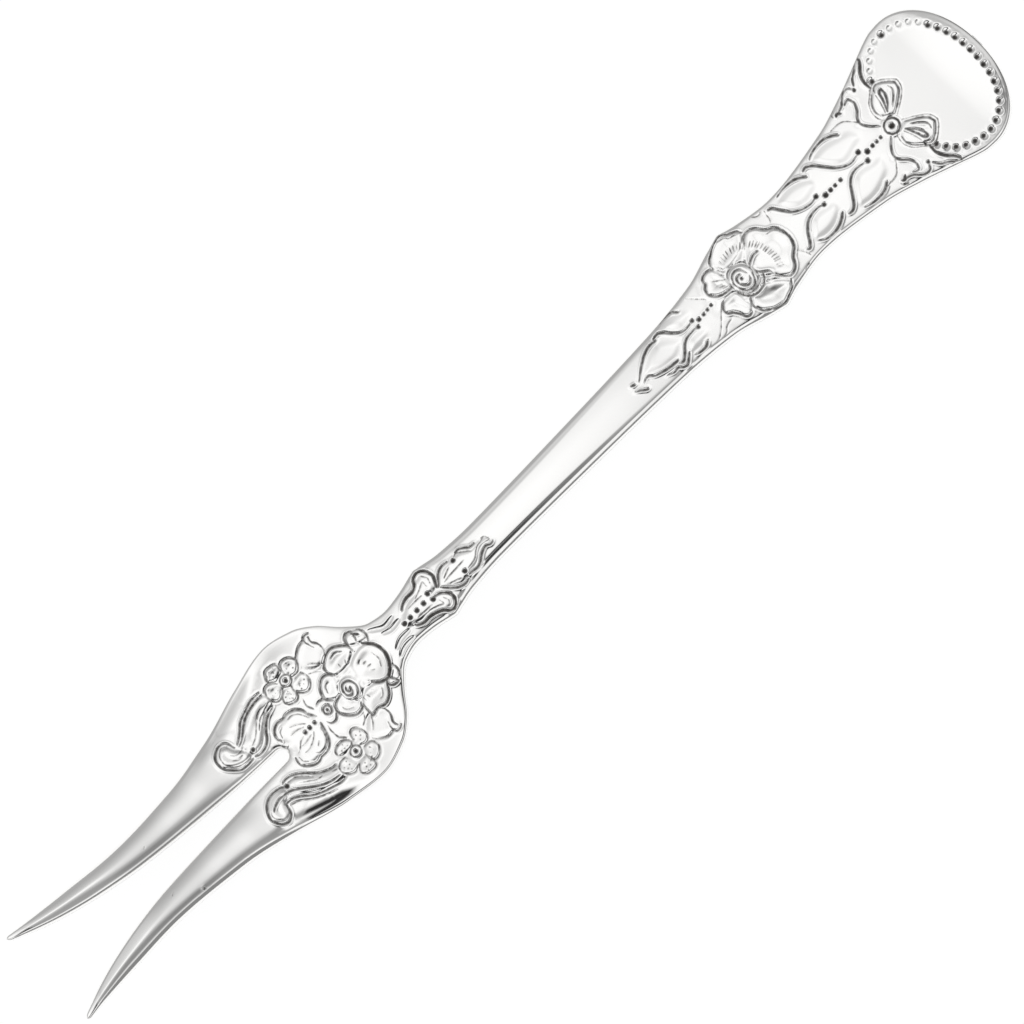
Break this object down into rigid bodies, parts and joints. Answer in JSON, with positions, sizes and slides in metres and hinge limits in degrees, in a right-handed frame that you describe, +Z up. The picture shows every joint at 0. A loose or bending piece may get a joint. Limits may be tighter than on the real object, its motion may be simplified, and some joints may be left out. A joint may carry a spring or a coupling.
{
  "type": "serving fork",
  "caption": "Flat silver serving fork with long pointed tines, a broad round-ended handle and raised flower and leaf ornament, for lifting sliced meat.",
  "frame": {"origin": "middle of the fork's length and width, on the surface that the fork rests on", "axes": "+X along the fork from the handle towards the points of the tines, +Y across the fork, +Z up from the decorated face"},
  "size_m": [0.205, 0.0274, 0.016],
  "materials": {
    "silver": "polished silver, hand worn, with dark tarnish left in the chased lines and punched pearls"
  },
  "bodies": {
    "root": {"fork": "silver"}
  },
  "joints": []
}
